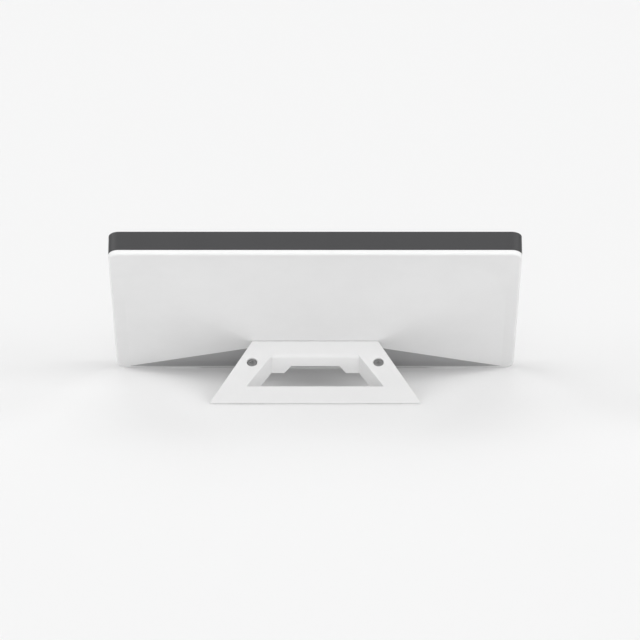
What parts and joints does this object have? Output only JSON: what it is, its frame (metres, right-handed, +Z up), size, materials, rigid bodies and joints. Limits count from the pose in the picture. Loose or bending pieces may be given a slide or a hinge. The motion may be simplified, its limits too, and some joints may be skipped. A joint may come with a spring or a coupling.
{
  "type": "point-of-sale touchscreen terminal",
  "caption": "Wide touchscreen head leaning back on its bottom edge, dark front casing, white tapered rear shell, and a hinged trapezoid ring stand with a cable notch.",
  "frame": {"origin": "bottom centre of the whole object, on the surface that it stands on", "axes": "+X along the width (to the left when seen from the back), +Y to the back, +Z up; the screen faces -Y and up"},
  "size_m": [0.342, 0.1743, 0.1517],
  "materials": {
    "black_glass": "polished",
    "sensor_film": "gloss",
    "foam_gasket": "matte foam",
    "panel_glass": "gloss",
    "backlight_tray": "satin",
    "dark_casing": "satin, fine texture",
    "white_shell": "satin, fine texture",
    "white_stand": "satin, fine texture",
    "chassis_aluminium": "brushed",
    "green_board": "solder mask",
    "tinned_steel": "tinned",
    "chip_plastic": "moulded",
    "black_plastic": "moulded",
    "white_switch": "moulded",
    "brass_spacer": "turned",
    "washer_brass": "lapped",
    "hinge_steel": "brushed",
    "dark_screw": "black zinc",
    "foot_rubber": "matte",
    "port_metal": "satin"
  },
  "bodies": {
    "display_head": {"antenna_left": "green_board", "antenna_right": "green_board", "backlight_unit": "backlight_tray", "board_chips": "chip_plastic", "board_screws": "dark_screw", "bracket_screws": "dark_screw", "button_board": "green_board", "button_spacers": "brass_spacer", "chassis_plate": "chassis_aluminium", "chassis_screws": "dark_screw", "cover_glass": "black_glass", "friction_washers_left": "washer_brass", "friction_washers_right": "washer_brass", "glass_gasket": "foam_gasket", "head_foot_left": "foot_rubber", "head_foot_right": "foot_rubber", "heat_sink": "chassis_aluminium", "hinge_bracket_left": "hinge_steel", "hinge_bracket_right": "hinge_steel", "hinge_nut_left": "hinge_steel", "hinge_nut_right": "hinge_steel", "hinge_pin_left": "hinge_steel", "hinge_pin_right": "hinge_steel", "io_board": "green_board", "io_board_screws": "dark_screw", "lcd_cell": "panel_glass", "mainboard": "green_board", "mid_frame": "dark_casing", "panel_screws": "dark_screw", "port_panel": "white_shell", "rear_shell": "white_shell", "rtc_cell": "tinned_steel", "soc_shield": "tinned_steel", "speaker_left": "black_plastic", "speaker_right": "black_plastic", "tact_switch": "black_plastic", "touch_sensor": "sensor_film", "usb_port_1": "port_metal", "usb_port_2": "port_metal", "usb_port_3": "port_metal"},
    "stand": {"hinge_leaf_left": "hinge_steel", "hinge_leaf_right": "hinge_steel", "stand_cover": "white_stand", "stand_frame": "white_stand", "stand_pad_left": "foot_rubber", "stand_pad_right": "foot_rubber", "stand_screws": "dark_screw"},
    "power_button": {"power_button": "dark_casing", "switch_plunger": "white_switch"}
  },
  "joints": [
    {"name": "stand_tilt", "type": "hinge", "parent": "display_head", "child": "stand", "pos_m": [0, -0.00674, 0.04587], "axis": [-1, 0, 0], "range_deg": [0, 25]},
    {"name": "power_button_press", "type": "slide", "parent": "display_head", "child": "power_button", "axis": [-1, 0, 0], "range_m": [0, 0.0008], "stiffness_N_per_m": 2500}
  ]
}
